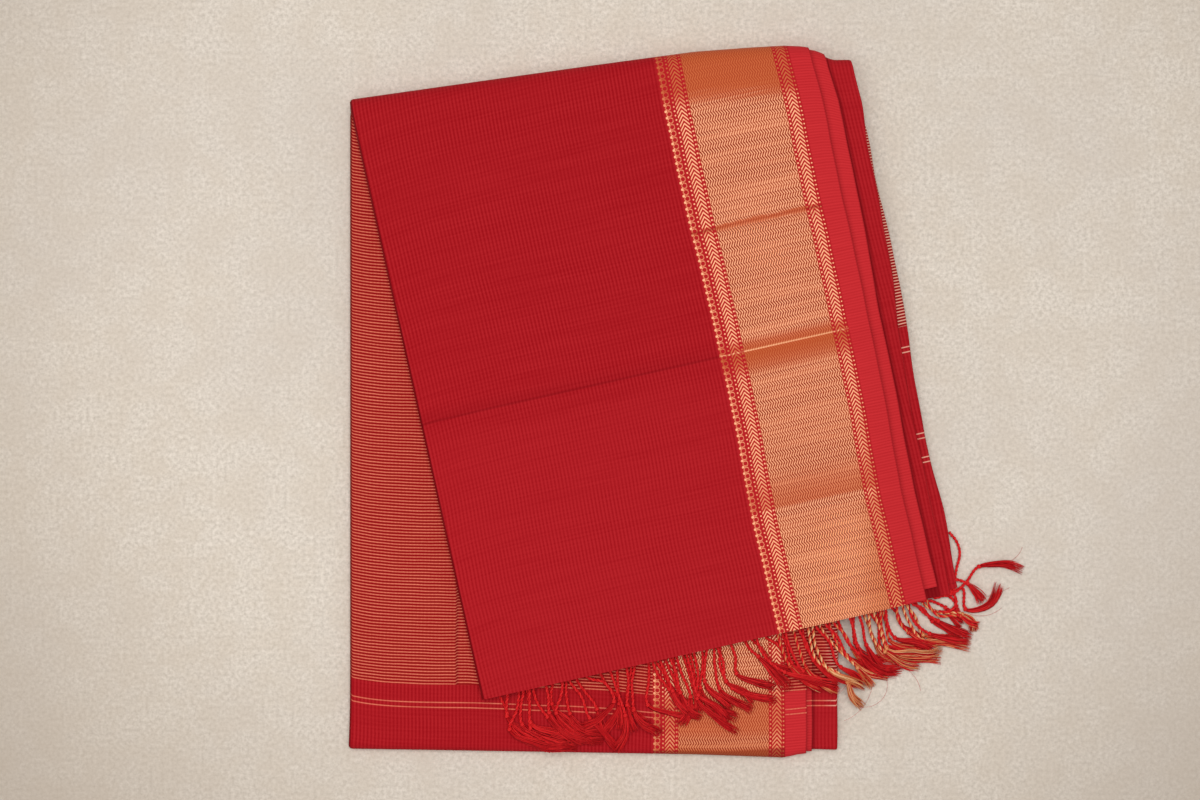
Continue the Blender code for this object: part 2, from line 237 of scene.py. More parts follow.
def section(first, last, middle, ply):
    """Outline of the cloth folded in four, and each point's distance from the nearer selvedge."""
    levels = [STATION_PLY / 2 + PITCH * i for i in range(4)]
    right = middle - STATION_PLY / 2 - INNER_TURN
    shown = np.linspace(0.0, 1.0, 59)
    hidden = np.array((0.0, 0.08, 0.16, 0.24, 0.33, 0.42, 0.51, 0.6, 0.67, 0.72, 0.76, 0.8, 0.84, 0.88, 0.92,
                       0.945, 0.96, 0.97, 0.98, 0.99, 1.0))
    line = []

    def flat(start, end, shares, level, way):
        """A layer from start to end, walked to the right where way is 1."""
        for share in shares:
            line.append((start + (end - start) * share, level, 0.0, way))

    def fold(centre, level, radius, angles, way):
        """A fold, walked with its angle growing where way is 1."""
        for a in np.radians(angles):
            line.append((centre + radius * math.cos(a), level + radius * math.sin(a),
                         -way * math.cos(a), -way * math.sin(a)))

    flat(first, LEFT_CENTRE, shown, levels[3], -1.0)
    fold(LEFT_CENTRE, (levels[1] + levels[2]) / 2, OUTER_TURN, 90.0 + 22.5 * np.arange(1, 8), 1.0)
    flat(LEFT_CENTRE, right, hidden, levels[0], 1.0)
    middle_at = len(line) + 2
    fold(right, (levels[0] + levels[1]) / 2, INNER_TURN, -90.0 + 30.0 * np.arange(1, 6), 1.0)
    flat(LEFT_CENTRE, right, hidden[::-1], levels[1], -1.0)
    fold(LEFT_CENTRE, (levels[1] + levels[2]) / 2, INNER_TURN, 270.0 - 30.0 * np.arange(1, 6), -1.0)
    flat(LEFT_CENTRE, last, hidden, levels[2], 1.0)
    line = np.array(line)
    points, normals = line[:, :2], line[:, 2:]
    from_first = np.concatenate([[0.0], np.cumsum(np.hypot(*np.diff(points, axis=0).T))])
    edge = np.where(np.arange(len(line)) < middle_at, from_first, from_first[-1] - from_first)
    outline = np.concatenate([points + normals * ply / 2, (points - normals * ply / 2)[::-1]])
    return outline, np.concatenate([edge, edge[::-1]])


def widths_at(table, run, wobble):
    """Widths of the layers at one run, slightly uneven along the middle fold."""
    first, last, middle = (float(column(table, i, run)) for i in (1, 2, 3))
    uneven = 0.5 * math.sin(run / 23.0 + wobble) + 0.35 * math.sin(run / 9.7 + 2 * wobble)
    edge = 0.18 * math.sin(run / 15.0 + wobble) + 0.1 * math.sin(run / 6.1)
    return first + edge, last + edge * 0.8 + 0.1 * math.sin(run / 11.0), middle + uneven


def run_lines(hem):
    """Rows of the slab from the lower fold to a hem, each as its run at the left and its slope."""
    rows = [(8.0 + (TURN_RUN - 8.0) * f, SLOPE * f) for f in np.linspace(0.0, 1.0, 44)[:-1]]
    rows += [(TURN_RUN + TURN_ARC * f, SLOPE) for f in np.linspace(0.0, 1.0, 13)[:-1]]
    start, square = TURN_RUN + TURN_ARC, 520.0
    front = list(np.arange(start, hem - 3.0, 6.2))
    for crease in CREASES:
        front += [crease[0] + d for d in (-9.0, -6.0, -3.5, -1.7, 0.0, 1.7, 3.5, 6.0, 9.0)]
    front = sorted(front)
    kept = [front[0]]
    for run in front[1:]:
        if run - kept[-1] > 1.2:
            kept.append(run)
    return rows + [(run, SLOPE * (1.0 - smooth((run - start) / (square - start)))) for run in kept + [hem]]


def askew(across, level, run):
    """How far the weft lies below the straight line, near the lower fold."""
    inner = INNER_SKEW * smooth((across - 200.0) / 60.0)
    drop = np.where(level > OVER_MIDDLE, column(SKEW, 1, across), inner)
    return drop * (1.0 - smooth((run - 50.0) / 120.0))


def turn_gain(across, level, run):
    """Length lost or gained in the turned part, as the layer's radius isn't the neutral one."""
    beyond = np.clip((run - TURN_RUN - across * SLOPE) / TURN_ARC, 0.0, 1.0)
    return beyond * ((TURN_Z - level) - TURN_NEUTRAL) * math.pi


def way_back(across, level, run):
    """Distance from the fringed end in the strip that ends under the front."""
    drop = askew(across, level, run)
    level = STRIP + GAP + eased(across, level)
    whole = ((TURN_Z - level) - TURN_NEUTRAL) * math.pi
    return UNDER_HEM - run + whole - turn_gain(across, level, run) - drop


def way_front(across, level, run):
    """Distance from the fringed end in the strip that ends at the front's hem."""
    drop = askew(across, level, run)
    level = eased(across, level)
    far = UNDER_HEM - FOLD_RUN + ((TURN_Z - STRIP - GAP - level) - TURN_NEUTRAL) * math.pi
    return far + math.pi * (GAP / 2 + level) + turn_gain(across, STRIP - level, run) + run - FOLD_RUN - drop


def cloth_rows():
    """Points, and distances from selvedge, fringed end and the selvedge above, for every row."""
    rows = []

    def add(widths, place, way, lift=0.0, wide=1.0, short=0.0):
        """One row. The selvedges rise by lift, the border widens and the last selvedge ends short."""
        ring, edge = section(*widths, PLY)
        across, level = ring.T
        selvedges = level > OVER_MIDDLE
        run, height = place(across, level + lift * smooth((across - RISE_FROM) / RISE_LENGTH) * selvedges)
        run = run - short * (selvedges & (level < OVER_LAST)) * smooth((across - 266.0) / 12.0)
        above = np.where(level > 2.5 * PITCH - GAP, *widths[:2])
        above = np.where(level > 3.5 * PITCH - GAP, -60.0, above)
        rows.append((np.stack(placed(across, run, height), 1),
                     edge - np.minimum(edge, BORDER_REACH) * (1.0 - 1.0 / wide),
                     way(across, level, run), across - above))

    for run0, slope in reversed(run_lines(UNDER_HEM)):
        widths = widths_at(BACK_WIDTHS, run0 + 150.0 * slope, 0.7)
        add(widths, lambda a, h, r=run0, s=slope: (r + s * a, STRIP + GAP + h), way_back)
    widths = widths_at(BACK_WIDTHS, 0.0, 0.7)
    for angle in np.linspace(0.0, math.pi, 11):

        def bottom(across, level, angle=angle):
            reach = GAP / 2 + level
            run = column(BOTTOM_LINE, 1, across) - reach * math.sin(angle)
            return run, STRIP + GAP / 2 + reach * math.cos(angle)

        def way(across, level, run, angle=angle):
            middle = column(BOTTOM_LINE, 1, across)
            drop = askew(across, level, middle)
            level = eased(across, level)
            whole = ((TURN_Z - STRIP - GAP - level) - TURN_NEUTRAL) * math.pi
            return UNDER_HEM - middle + whole + angle * (GAP / 2 + level) - drop

        add(widths, bottom, way)
    for run0, slope in run_lines(FRONT_HEM):
        at = run0 + 150.0 * slope
        past = smooth((run0 - TURN_RUN) / 50.0)
        wide = 1.0 + past * (0.038 * (1.0 - smooth((at - 440.0) / 180.0)) - 0.006)
        short = LAST_SHORT * smooth((run0 - FRONT_HEM + 30.0) / 30.0)
        add(widths_at(FRONT_WIDTHS, at, 2.3), lambda a, h, r=run0, s=slope: (r + s * a, STRIP - h), way_front,
            SELVEDGE_RISE * past, wide, short)
    return rows


def backing_rows():
    """The narrow strip under the hem that the fringe is knotted from."""
    ring, edge = section(*widths_at(BACK_WIDTHS, UNDER_HEM, 0.7), PLY)
    across, level = ring[:, 0], STRIP + GAP + ring[:, 1]
    clear = np.full_like(across, 60.0)
    return [(np.stack(placed(across, np.full_like(across, UNDER_HEM + off), level), 1),
             edge, 0.0 * edge, clear)
            for off in (0.3, 3.5)]


def linked(name, data):
    """New object in the scene."""
    made = bpy.data.objects.new(name, data)
    bpy.context.collection.objects.link(made)
    return made


def skin(name, rows, origin, material):
    """Closed skin over rows of outlines, with their distances as its two UV maps in metres."""
    points, edge, along, past = (np.concatenate([row[i] for row in rows]) / 1000.0 for i in range(4))
    points -= origin / 1000.0
    ring, count = len(rows[0][0]), len(rows)
    i = np.arange(ring)
    k = (i + 1) % ring
    quads = [np.stack([j * ring + i, j * ring + k, (j + 1) * ring + k, (j + 1) * ring + i], 1)
             for j in range(count - 1)]
    n = np.arange(ring // 2 - 1)
    last = (count - 1) * ring
    quads.append(np.stack([n, ring - 1 - n, ring - 2 - n, n + 1], 1))
    quads.append(np.stack([last + n, last + n + 1, last + ring - 2 - n, last + ring - 1 - n], 1))
    quads = np.concatenate(quads)
    a, b, c, d = (points[quads[:, m]] for m in range(4))
    volume = np.einsum("ij,ij->i", a, np.cross(b, c) + np.cross(c, d)).sum()
    if volume < 0:
        quads = quads[:, ::-1]
    mesh = bpy.data.meshes.new(name)
    mesh.from_pydata(points.tolist(), [], quads.tolist())
    corners = quads.reshape(-1)
    for layer, u in (("weave", edge), ("past selvedge", past)):
        uv = mesh.uv_layers.new(name=layer)
        uv.data.foreach_set("uv", np.stack([u[corners], along[corners]], 1).astype(np.float32).reshape(-1))
    mesh.materials.append(material)
    mesh.update()
    made = linked(name, mesh)
    mesh.shade_smooth()
    mesh.set_sharp_from_angle(angle=math.radians(50))
    return made


class Graph:
    """Short hand for building one material's nodes."""

    def __init__(self, name):
        self.material = bpy.data.materials.new(name)
        self.material.use_nodes = True
        self.tree = self.material.node_tree
        self.shader = self.tree.nodes["Principled BSDF"]

    def set(self, socket, value):
        """Link a value to a socket, or write it there."""
        if isinstance(value, bpy.types.NodeSocket):
            self.tree.links.new(value, socket)
        else:
            socket.default_value = value

    def look(self, name, value):
        """Set one input of the shader."""
        self.set(self.shader.inputs[name], value)

    def node(self, kind, values, **settings):
        """A node with its first inputs and its settings."""
        node = self.tree.nodes.new("ShaderNode" + kind)
        for name, value in settings.items():
            setattr(node, name, value)
        for socket, value in zip(node.inputs, values):
            self.set(socket, value)
        return node.outputs

    def math(self, kind, *values):
        """Result of one sum on values or sockets."""
        return self.node("Math", values, operation=kind)[0]

    def plus(self, *values):
        return reduce(lambda a, b: self.math("ADD", a, b), values)

    def minus(self, a, b):
        return self.math("SUBTRACT", a, b)

    def times(self, *values):
        return reduce(lambda a, b: self.math("MULTIPLY", a, b), values)

    def larger(self, *values):
        return reduce(lambda a, b: self.math("MAXIMUM", a, b), values)

    def line(self, value, slope, start):
        """Value times slope, plus start."""
        return self.math("MULTIPLY_ADD", value, slope, start)

    def swing(self, value, share):
        """A value from 0 to 1 as one that swings around 0."""
        return self.times(self.minus(value, 0.5), share)

    def size(self, value):
        return self.math("ABSOLUTE", value)

    def length(self, a, b):
        return self.math("SQRT", self.plus(self.times(a, a), self.times(b, b)))

    def part(self, value, pitch):
        """Share of the pitch that a value has gone."""
        return self.math("FRACT", self.math("DIVIDE", value, pitch))

    def blend(self, share, a, b):
        node = self.tree.nodes.new("ShaderNodeMix")
        node.data_type = "RGBA"
        for index, value in ((0, share), (6, a), (7, b)):
            self.set(node.inputs[index], value)
        return node.outputs[2]

    def range(self, value, low, high, out_low=0.0, out_high=1.0, kind="SMOOTHSTEP"):
        return self.node("MapRange", (value, low, high, out_low, out_high), interpolation_type=kind)[0]

    def noise(self, vector, scale, detail=2.0, rough=0.5):
        return self.node("TexNoise", (vector, 0.0, scale, detail, rough))["Fac"]

    def vector(self, x, y):
        return self.node("CombineXYZ", (x, y))[0]

    def place(self):
        return self.node("TexCoord", ())["Object"]

    def uv(self, name):
        """Both distances of one UV map, in millimetres."""
        split = self.node("SeparateXYZ", self.node("UVMap", (), uv_map=name)[:1])
        return self.times(split[0], 1000.0), self.times(split[1], 1000.0)

    def within(self, value, low, high, soft=0.15):
        """1 where the value lies between two limits."""
        begun = self.range(value, low - soft, low + soft)
        return self.minus(begun, self.range(value, high - soft, high + soft))

    def wave(self, value, pitch):
        """Rises from 0 to 1 and back once for each pitch."""
        return self.line(self.math("SINE", self.times(value, 2 * math.pi / pitch)), 0.5, 0.5)

    def bump(self, height, strength, distance):
        node = self.tree.nodes.new("ShaderNodeBump")
        for name, value in (("Strength", strength), ("Distance", distance), ("Height", height)):
            self.set(node.inputs[name], value)
        self.look("Normal", node.outputs[0])


def linear(red, green, blue):
    """Screen colour of 0 to 255 as a linear one."""
    made = []
    for value in (red, green, blue):
        value /= 255.0
        made.append(value / 12.92 if value <= 0.04045 else ((value + 0.055) / 1.055) ** 2.4)
    return (*made, 1.0)


BODY = linear(155, 14, 24), linear(181, 34, 41)
# painted shade on and just above the main crease
CREASE_SHADE_BODY = linear(112, 8, 16)
SELVEDGE = linear(184, 34, 41), linear(213, 52, 57)
# painted shade along the selvedge's edge
SELVEDGE_EDGE_SHADE = linear(120, 14, 22)
STRIPED_GROUND = linear(146, 16, 20)
STRIPE = linear(194, 72, 54), linear(238, 132, 104)
FOLDED_STRIPE = linear(244, 190, 168)
# painted shade along the back's lengthwise crease
STRIPE_CREASE_SHADE = linear(96, 8, 12)
BORDER_GROUND = linear(184, 33, 39)
# The field ground's second colour and the shaded metal colours below are painted shade, for metal tilted away
# from the light.
FIELD_GROUND_PLAIN_AND_SHADED = linear(140, 42, 26), linear(172, 52, 24)
METAL = linear(206, 98, 56), linear(238, 140, 90)
SHADED_METAL = linear(180, 78, 40), linear(218, 120, 72)
# painted highlight on the main crease's ridge
CREST_HIGHLIGHT_METAL, CREST_HIGHLIGHT_TINT = linear(246, 170, 118), linear(240, 156, 110)
# painted shade in the upper crease
GROOVE_SHADE = linear(140, 26, 20)
# painted shade towards the lower fold
FOOT_SHADE = linear(96, 30, 22)
# painted shadow beside the edge of the selvedge lying above
SHADOW_BESIDE_SELVEDGE = linear(92, 6, 12)
SHEEN = linear(255, 110, 110), linear(255, 234, 196)


class Weave(Graph):
    """Red silk with ribs, a metallic border along each selvedge, and the decorated end's stripes.

    All places and reaches are in millimetres, from the nearer selvedge, the fringed end or a crease.
    """

    def __init__(self):
        super().__init__("sari weave")
        self.edge, self.along = self.uv("weave")
        self.fine = self.grain(1.0, 1.0, 1.1, 3.0, 0.6)
        self.patch = self.grain(0.03, 0.03)
        self.weft_run = self.grain(0.035, 0.9, detail=2.0)
        self.band_run = self.grain(0.012, 0.16)

        # The creases run straight though the weft bows at the left fold
        from_fold = self.minus(FRONT_WIDTH, self.edge)
        bow = self.times(self.math("EXPONENT", self.times(from_fold, -1.0 / EASE_REACH)), EASE_BOW * EASE)
        straight = self.plus(self.along, bow)
        self.upper, self.main, self.lower = (self.minus(straight, way) for way in CREASE_WAYS)
        self.past_turn = self.line(from_fold, -SLOPE, self.plus(straight, -TURN_WAY))

        self.rib = self.wave(self.plus(self.edge, self.times(self.patch, 0.5)), RIB_PITCH)
        self.weft = self.wave(self.along, WEFT_PITCH)
        self.in_band = self.range(self.edge, BAND + 0.4, BAND - 0.4)
        self.in_border = self.within(self.edge, BAND, BORDER, 0.1)
        # Painted highlight: a bright line along the main crease's ridge, broken by the grain.
        self.crest_highlight = self.times(self.range(self.size(self.main), 0.85, 0.1),
                                self.range(self.fine, 0.2, 0.6, 0.6))
        # Painted shade on the metal where it tilts away from the light.
        self.tilt_shade = self.tilt_shade_zones()
        self.finish()

    def grain(self, across, along, scale=1.0, detail=3.0, rough=0.5):
        """Noise drawn out along or across the weave."""
        place = self.vector(self.times(self.edge, across), self.times(self.along, along))
        return self.noise(place, scale, detail, rough)

    def body(self):
        """Lengthwise ribs crossed by finer weft lines, with painted shade on and just above the main crease
        and painted light below it.
        """
        main, fine = self.main, self.fine
        clear = self.range(self.plus(self.times(self.patch, 0.6), self.times(self.band_run, 0.4)),
                           0.38, 0.62, 0.5, 0.88)
        calm = self.times(self.range(self.edge, 555.0, 570.0, 0.0, 0.65), self.range(main, 10.0, -10.0))
        clear = self.times(clear, self.minus(1.0, self.times(calm, self.range(self.along, 1100.0, 1180.0))))
        # The last term is painted light: the body grows lighter over the 24 mm below the main crease and
        # stays so.
        tone = self.plus(
            0.5, self.swing(self.rib, clear), self.swing(self.weft_run, 0.55),
            self.swing(self.weft, self.line(calm, 0.5, 0.13)), self.swing(fine, 0.7),
            self.swing(self.band_run, 0.4), self.range(main, -1.0, 24.0, 0.0, 0.16))
        # Painted shade: a dark line on the main crease, broken by the grain, and a darker band just above it.
        crease_shade = self.times(self.range(self.size(main), 1.4, 0.2), self.range(fine, 0.2, 0.7, 0.2, 0.46))
        above = self.times(self.range(main, -11.0, -0.5), self.range(main, 0.5, -0.5, 0.0, 0.15))
        return self.blend(self.larger(crease_shade, above), self.blend(tone, *BODY), CREASE_SHADE_BODY)

    def selvedge(self):
        """Plain band at the selvedge, with weft ribs and painted shade along its very edge."""
        rib = self.wave(self.plus(self.along, self.times(self.patch, 2.0)), BAND_PITCH)
        tone = self.plus(self.times(rib, 0.45), self.times(self.weft_run, 0.6), self.swing(self.fine, 0.4))
        # Painted shade: a thin dark line along the selvedge's edge, where the layer steps down.
        edge_shade = self.range(self.edge, 0.9, 0.2, 0.0, 0.45)
        return self.blend(edge_shade, self.blend(tone, *SELVEDGE), SELVEDGE_EDGE_SHADE)

    def ground(self):
        """Body and selvedge, with the decorated end's stripes and thin lines across them, and painted shade
        along the back's lengthwise crease.
        """
        edge = self.edge
        # The stripes step at the back's crease
        step = self.times(self.range(edge, STRIPE_FOLD + 1.2, STRIPE_FOLD - 0.4),
                          self.range(edge, 196.0, 212.0))
        wave = self.wave(self.plus(self.along, step, self.times(self.patch, 1.5)), STRIPE_PITCH)
        in_stripes = self.within(self.along, STRIPES_FROM, STRIPES_TO, 0.3)
        thin = self.larger(*(self.within(self.along, line - 0.32, line + 0.32, 0.22) for line in THIN_LINES))
        thin = self.times(thin, self.range(self.weft_run, 0.2, 0.5, 0.6))
        stripe = self.larger(self.times(self.range(wave, 0.54, 0.90), in_stripes), thin)
        tone = self.plus(self.weft_run, self.swing(self.fine, 1.3), self.swing(self.rib, 0.22))
        near_fold = self.range(edge, 578.0, 588.0, 0.0, 0.75)
        thread = self.blend(near_fold, self.blend(tone, *STRIPE), FOLDED_STRIPE)
        plain = self.blend(self.in_band, self.body(), self.selvedge())
        deep = self.blend(self.times(in_stripes, 0.85), plain, STRIPED_GROUND)
        striped = self.blend(self.times(stripe, 0.95), deep, thread)
        # Painted shade: a thin dark line along the back's lengthwise crease through the stripes.
        folded = self.times(self.range(self.size(self.minus(edge, STRIPE_FOLD)), 1.5, 0.2), in_stripes)
        return self.blend(self.times(folded, 0.35), striped, STRIPE_CREASE_SHADE), stripe

    def chevrons(self, low, high):
        from_middle = self.size(self.minus(self.edge, (low + high) / 2))
        phase = self.minus(self.along, self.times(from_middle, 1.25))
        shape = self.range(self.wave(phase, MOTIF_PITCH), 0.36, 0.74)
        return self.times(shape, self.within(self.edge, low, high, 0.12))

    def dots(self, middle, shift, radius, pitch=MOTIF_PITCH):
        across = self.math("DIVIDE", self.minus(self.edge, middle), radius)
        step = self.swing(self.part(self.plus(self.along, shift), pitch), pitch / radius)
        return self.range(self.length(across, step), 1.3, 0.7)

    def chain(self):
        """Rings picked out in single threads, with a dot between each two."""
        step = self.swing(self.part(self.along, STAR_PITCH), STAR_PITCH)
        far = self.length(self.minus(self.edge, STAR_ROW), step)
        picked = self.times(self.wave(self.along, 0.98), self.wave(self.edge, 0.9))
        ring = self.times(self.range(self.size(self.minus(far, STAR_RADIUS)), 0.52, 0.14),
                          self.range(picked, 0.0, 0.5, 0.55), self.range(self.edge, 91.0, 91.3))
        return self.larger(ring, self.dots(94.5, STAR_PITCH / 2, 0.85, STAR_PITCH))

    def tilt_shade_zones(self):
        """Painted shade where the metal tilts away from the light and shows deep orange: on and beside the
        three creases, past the turn, and towards the lower fold, where the tassels also shade it.
        """
        main, upper, lower, along = self.main, self.upper, self.lower, self.along
        below_main = self.times(self.range(main, -0.2, 0.4), self.range(main, 15.5, 3.0, kind="LINEAR"))
        above_main = self.times(self.range(main, -9.0, -1.0, 0.0, 0.68), self.range(main, 0.3, -0.3))
        brushed = self.grain(0.14, 0.35, rough=0.7)
        near_upper = self.size(self.line(self.minus(brushed, 0.5), 4.0, upper))
        near_upper = self.times(self.range(near_upper, 2.4, 0.2, 0.0, 0.75),
                                self.range(brushed, 0.3, 0.55, 0.55))
        above_lower = self.times(self.range(lower, -26.0, -1.5, 0.0, 0.34), self.range(lower, 0.6, -0.6))
        blurred = self.line(self.minus(self.weft_run, 0.5), 12.0, self.past_turn)
        at_turn = self.times(self.range(self.past_turn, -16.0, -10.0),
                             self.range(blurred, 27.0, 13.0, 0.0, 0.86))
        at_foot = self.times(self.within(along, 722.0, 745.5, 5.0), 0.5)
        under_foot = self.times(self.within(along, 755.0, 790.0, 1.5), 0.9)
        return self.larger(below_main, above_main, near_upper, above_lower, at_turn, at_foot, under_foot)

    def field(self):
        """Zigzag lines of metal thread, with a faint row at each turn of theirs."""
        turns = self.math("PINGPONG", self.math("DIVIDE", self.along, MOTIF_PITCH), 1.0)
        lines = self.wave(self.plus(self.edge, self.times(turns, FIELD_SWING)), FIELD_PITCH)
        rising = self.range(self.part(self.along, 2 * MOTIF_PITCH), 0.42, 0.58, 1.0, 0.86)
        shown = self.range(self.plus(self.times(self.band_run, 0.6), self.times(self.weft_run, 0.4)),
                           0.38, 0.58, 0.66)
        gap = self.times(self.range(lines, 0.80, 0.26), rising, shown)
        row = self.times(self.range(self.wave(self.along, MOTIF_PITCH), 0.7, 1.0), 0.16)
        # Where the tilt shade or the ridge highlight is painted, the field's gaps fill with metal.
        return self.larger(self.minus(self.minus(1.0, gap), row), self.times(self.tilt_shade, 0.42),
                           self.times(self.crest_highlight, 0.8))

    def border(self):
        """From the selvedge: dots, chevrons, dots, field, dots, chevrons, dots and a chain of rings."""
        motif = self.larger(
            self.chevrons(15.6, 21.4), self.chevrons(82.1, 88.1), self.dots(14.4, 0.0, 0.5),
            self.dots(22.5, 1.3, 0.58), self.dots(80.9, 0.4, 0.58), self.dots(89.3, 1.3, 0.55), self.chain())
        in_field = self.within(self.edge, *FIELD)
        gold = self.larger(self.times(motif, self.in_border), self.times(self.field(), in_field))
        # Painted shade: the field's ground turns deep orange where the metal tilts away from the light.
        ground = self.blend(in_field, BORDER_GROUND, self.blend(self.tilt_shade, *FIELD_GROUND_PLAIN_AND_SHADED))
        # The last term is painted light: the metal grows lighter over the first 30 mm below the lower crease
        # and stays so to the hem.
        tone = self.plus(self.times(self.weft_run, 0.6), self.times(self.fine, 0.5),
                         self.range(self.lower, 0.0, 30.0, 0.0, 0.3))
        # Painted shade: the metal turns deep orange where it tilts away from the light.
        metal = self.blend(self.tilt_shade, self.blend(tone, *METAL), self.blend(self.fine, *SHADED_METAL))
        # Painted highlight on the main crease's ridge, in the metal.
        metal = self.blend(self.times(self.crest_highlight, 0.9), metal, CREST_HIGHLIGHT_METAL)
        # Painted shade: a dark line in the upper crease, fainter in the field.
        groove_shade = self.times(self.range(self.size(self.upper), 1.0, 0.2),
                            self.range(self.fine, 0.3, 0.7, 0.5))
        colour = self.blend(gold, ground, metal)
        colour = self.blend(self.times(groove_shade, self.line(in_field, -0.4, 0.65)), colour, GROOVE_SHADE)
        # Painted highlight: a pale glow over the main crease's ridge.
        colour = self.blend(self.times(self.crest_highlight, 0.3), colour, CREST_HIGHLIGHT_TINT)
        # Painted shade: the border darkens towards the lower fold, from 755 to 775 mm along.
        return self.blend(self.times(self.within(self.along, 755.0, 775.0, 1.0), 0.42), colour, FOOT_SHADE), gold

    def finish(self):
        """Colour, gloss and relief of the whole cloth."""
        ground, stripe = self.ground()
        border, gold = self.border()
        colour = self.blend(self.in_border, ground, border)
        past = self.uv("past selvedge")[0]
        # Painted shadow on the layer below, beside the edge of the selvedge lying over it; lighter on the
        # selvedge band.
        beside = self.times(self.range(past, 3.8, -0.6), self.line(self.in_band, -0.34, 0.62))
        self.look("Base Color", self.blend(beside, colour, SHADOW_BESIDE_SELVEDGE))
        # The painted tilt shade, less the ridge highlight, also lowers the metal's gloss.
        dull = self.times(self.minus(self.tilt_shade, self.times(self.tilt_shade, self.crest_highlight)), 0.9)
        shine = self.larger(self.times(gold, self.minus(1.0, dull)),
                            self.times(stripe, 0.35, self.minus(1.0, self.in_border)))
        self.look("IOR", 1.8)
        self.look("Specular IOR Level", self.line(shine, METAL_SHINE, 0.04))
        self.look("Specular Tint", self.blend(shine, *SHEEN))
        self.look("Roughness", self.line(shine, -0.30, 0.62))
        height = self.plus(self.times(gold, 0.5), self.times(self.rib, 0.25), self.times(self.weft, 0.12),
                           self.times(self.fine, 0.4), self.times(stripe, 0.4))
        self.bump(height, 0.25, 0.0003)


def thread_material(name, dark, light, shine):
    """Twisted threads of one colour, uneven along their length."""
    g = Graph(name)
    place = g.place()
    tone = g.plus(g.times(g.noise(place, 420.0), 0.6), g.times(g.noise(place, 60.0, 1.0), 0.4))
    g.look("Base Color", g.blend(tone, linear(*dark), linear(*light)))
    g.look("Specular IOR Level", shine)
    g.look("Roughness", 0.5)
    return g.material


COURSE_STEPS = 60
CORD_STEPS = 36
FIBRES, FIBRE_STEPS, FIBRE_RADIUS = 46, 9, 0.27
SHORT_BRUSH = 1.2  # a tassel with less than this half width has no brush
LOWEST = 0.1  # threads lie at least this far above the surface

